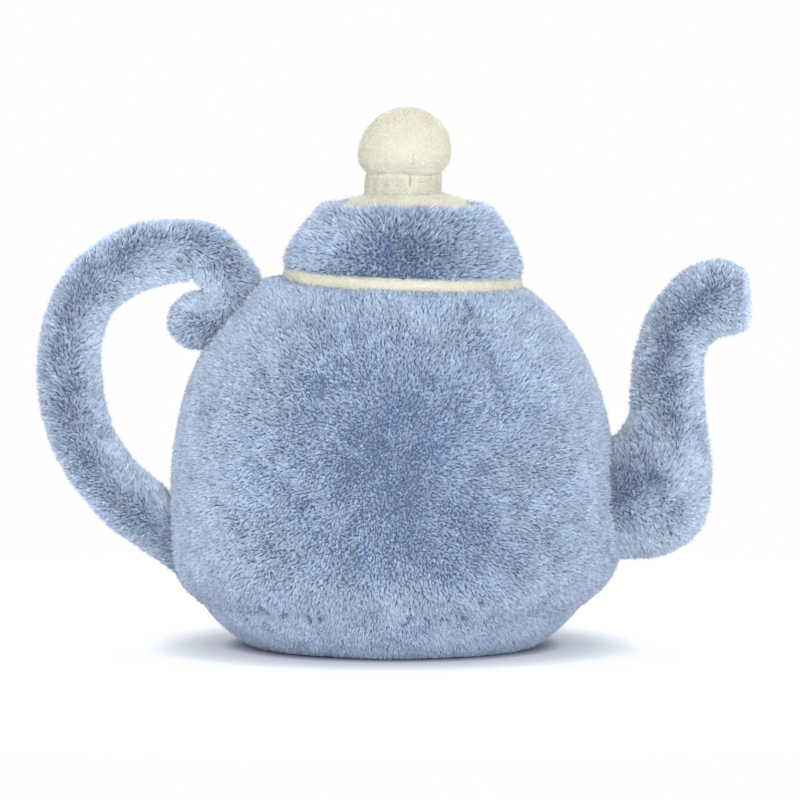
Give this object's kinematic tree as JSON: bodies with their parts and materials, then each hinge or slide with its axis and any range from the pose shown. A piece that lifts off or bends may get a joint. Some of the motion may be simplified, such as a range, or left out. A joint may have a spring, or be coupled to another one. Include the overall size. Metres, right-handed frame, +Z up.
{
  "type": "plush teapot toy",
  "caption": "Stuffed plush teapot toy with a round blue body, flat base, curled handle, bent spout, and a sewn-on lid with cream collar, disc and ball knob.",
  "frame": {"origin": "middle of the flat base, on the body's axis", "axes": "+Z up, +X towards the spout, -X towards the handle, -Y towards the plain back that the picture shows"},
  "size_m": [0.2841, 0.1762, 0.2165],
  "materials": {
    "blue_plush": "matte",
    "cream_velour": "matte",
    "fibre_filling": "matte",
    "cotton_pouch": "matte"
  },
  "bodies": {
    "root": {"body_panel_back": "blue_plush", "body_panel_back_handle_side": "blue_plush", "body_panel_back_spout_side": "blue_plush", "body_panel_front": "blue_plush", "body_panel_front_handle_side": "blue_plush", "body_panel_front_spout_side": "blue_plush", "base_panel": "blue_plush", "lid_side": "blue_plush", "handle_panel_back": "blue_plush", "handle_panel_front": "blue_plush", "spout_panel_back": "blue_plush", "spout_panel_front": "blue_plush", "spout_tip_disc": "blue_plush", "collar_band": "cream_velour", "lid_top_disc": "cream_velour", "knob_neck_band": "cream_velour", "knob_ball": "cream_velour", "body_stuffing": "fibre_filling", "lid_stuffing": "fibre_filling", "knob_stuffing": "fibre_filling", "handle_stuffing": "fibre_filling", "spout_stuffing": "fibre_filling", "pellet_pouch": "cotton_pouch"}
  },
  "joints": []
}
